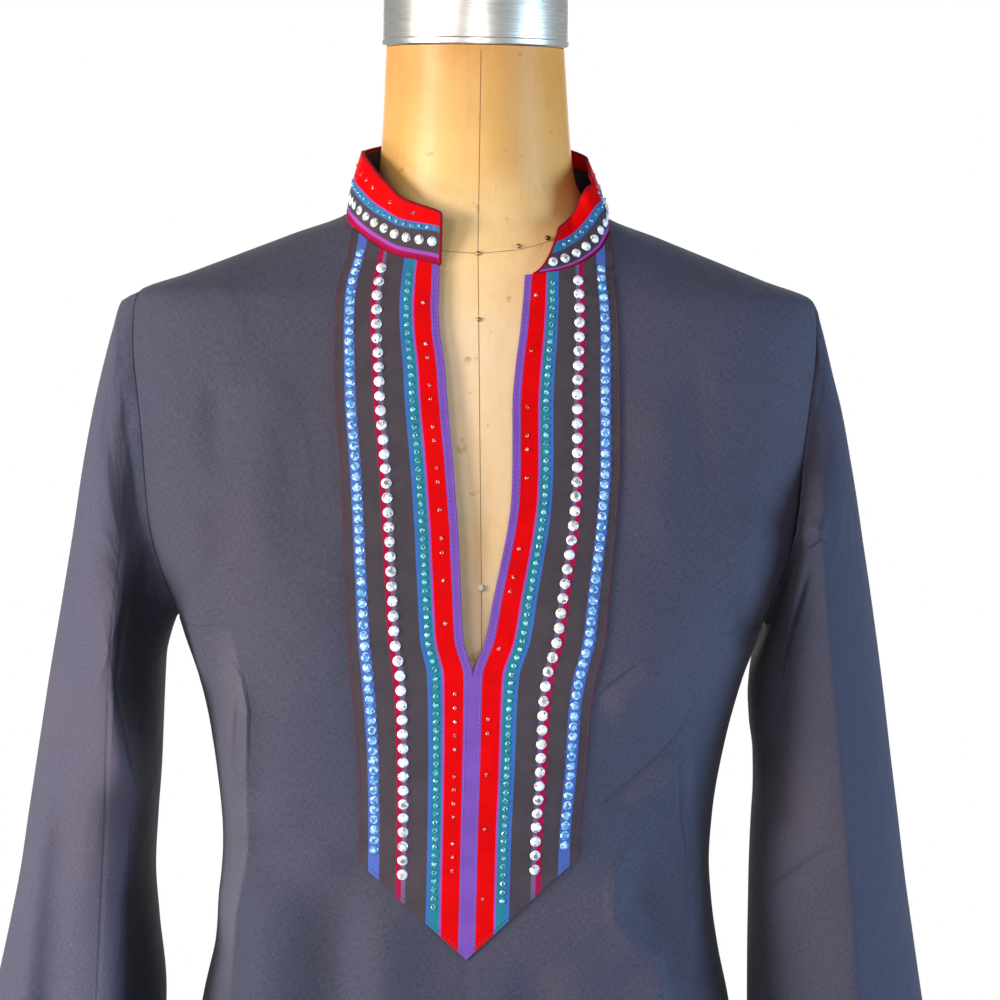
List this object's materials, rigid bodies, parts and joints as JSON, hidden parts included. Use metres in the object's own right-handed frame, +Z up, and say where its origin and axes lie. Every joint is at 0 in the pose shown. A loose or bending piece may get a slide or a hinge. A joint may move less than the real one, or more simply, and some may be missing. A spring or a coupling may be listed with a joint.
{
  "type": "embellished tunic on a dress form",
  "caption": "Long-sleeved cotton tunic with a stand collar and a striped, studded slit placket, standing on a limbless dress form with a pole and a round base.",
  "frame": {"origin": "on the floor, at the middle of the underside of the dress form's round base", "axes": "+Z up, -Y out of the garment's front, +X to the viewer's right, which is the wearer's left"},
  "size_m": [0.621, 0.43, 1.5353],
  "materials": {
    "tunic_cotton": "matte plain-woven cotton",
    "striped_ribbon": "satin ribbon stripes with studs",
    "form_canvas": "shellacked canvas, satin",
    "cap_metal": "satin",
    "base_iron": "satin black paint"
  },
  "bodies": {
    "root": {"front": "tunic_cotton", "back": "tunic_cotton", "sleeve_left": "tunic_cotton", "sleeve_right": "tunic_cotton", "placket": "striped_ribbon", "collar": "striped_ribbon", "form_torso": "form_canvas", "neck_cap": "cap_metal", "pole": "cap_metal", "base": "base_iron"}
  },
  "joints": []
}
